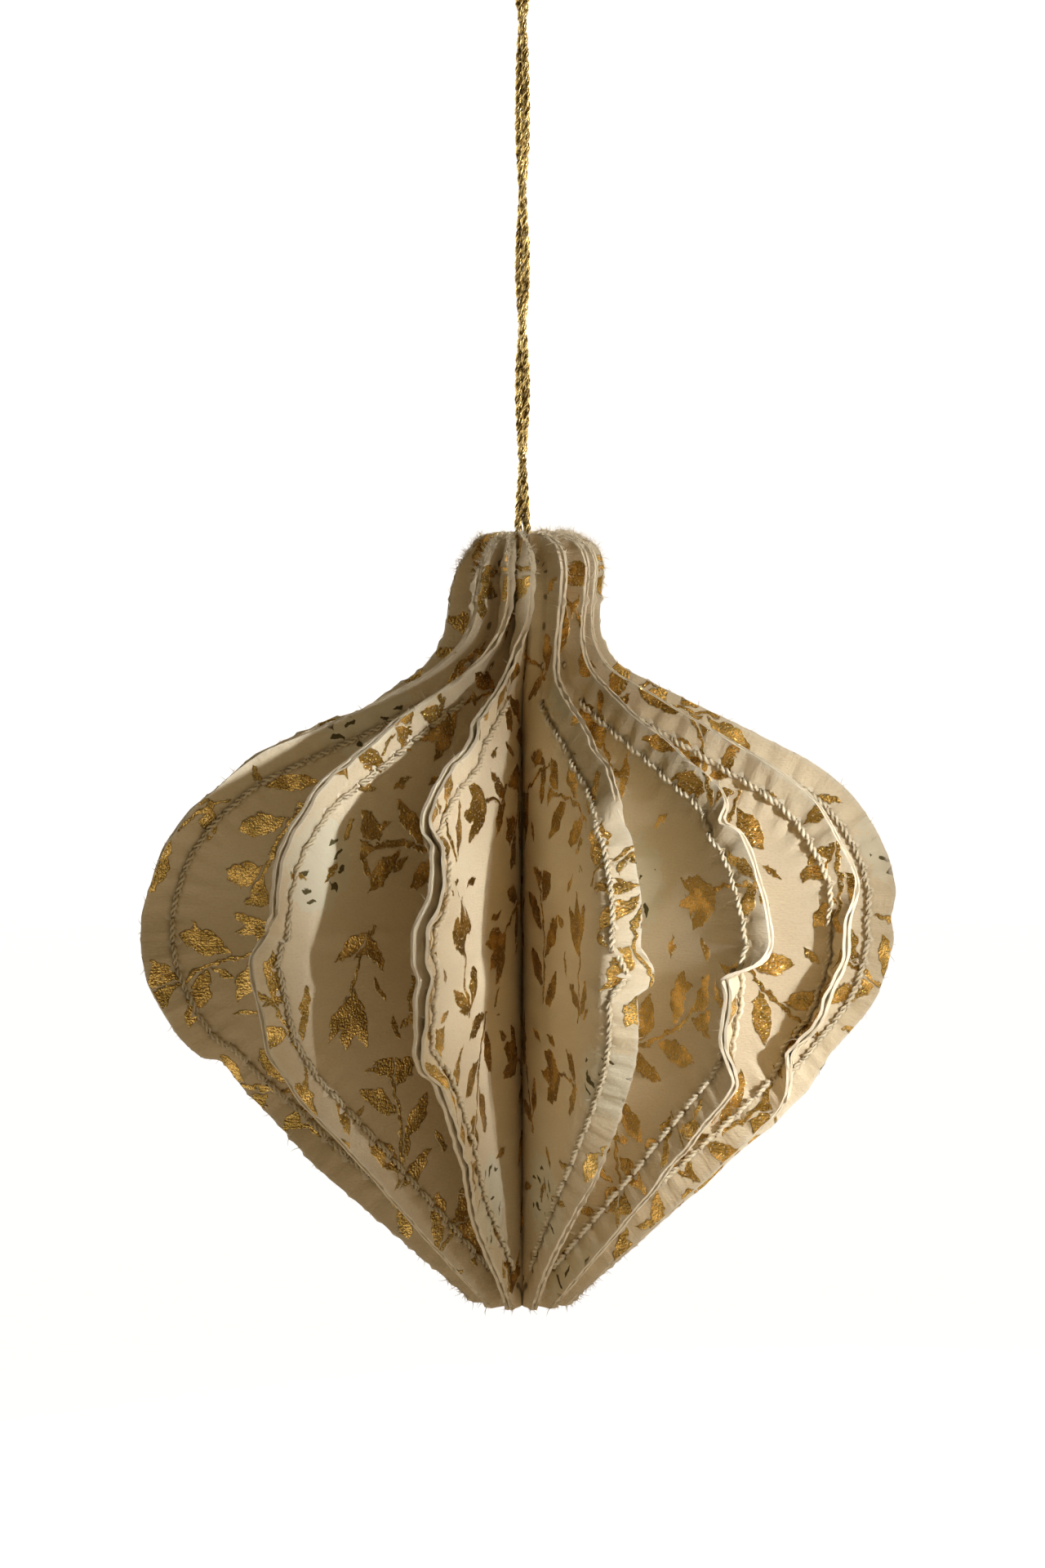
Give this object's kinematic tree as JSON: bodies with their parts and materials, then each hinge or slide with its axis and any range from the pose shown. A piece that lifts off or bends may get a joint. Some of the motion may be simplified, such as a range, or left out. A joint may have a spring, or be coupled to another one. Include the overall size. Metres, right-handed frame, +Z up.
{
  "type": "folded paper hanging ornament",
  "caption": "Onion-shaped hanging ornament of folded paper sheets joined into fins round a hollow core, with a doubled cord loop knotted in the core.",
  "frame": {"origin": "inside top of the cord loop, where the ornament hangs", "axes": "+Z up along the ornament's axis, front towards -Y"},
  "size_m": [0.0996, 0.0984, 0.1904],
  "materials": {
    "paper": "matte",
    "cord": "satin"
  },
  "bodies": {
    "root": {"paper_leaf_01": "paper", "paper_leaf_02": "paper", "paper_leaf_03": "paper", "paper_leaf_04": "paper", "paper_leaf_05": "paper", "paper_leaf_06": "paper", "paper_leaf_07": "paper", "paper_leaf_08": "paper", "paper_leaf_09": "paper", "paper_leaf_10": "paper", "paper_leaf_11": "paper", "paper_leaf_12": "paper", "paper_leaf_13": "paper", "hanging_cord": "cord", "cord_knot": "cord"}
  },
  "joints": []
}
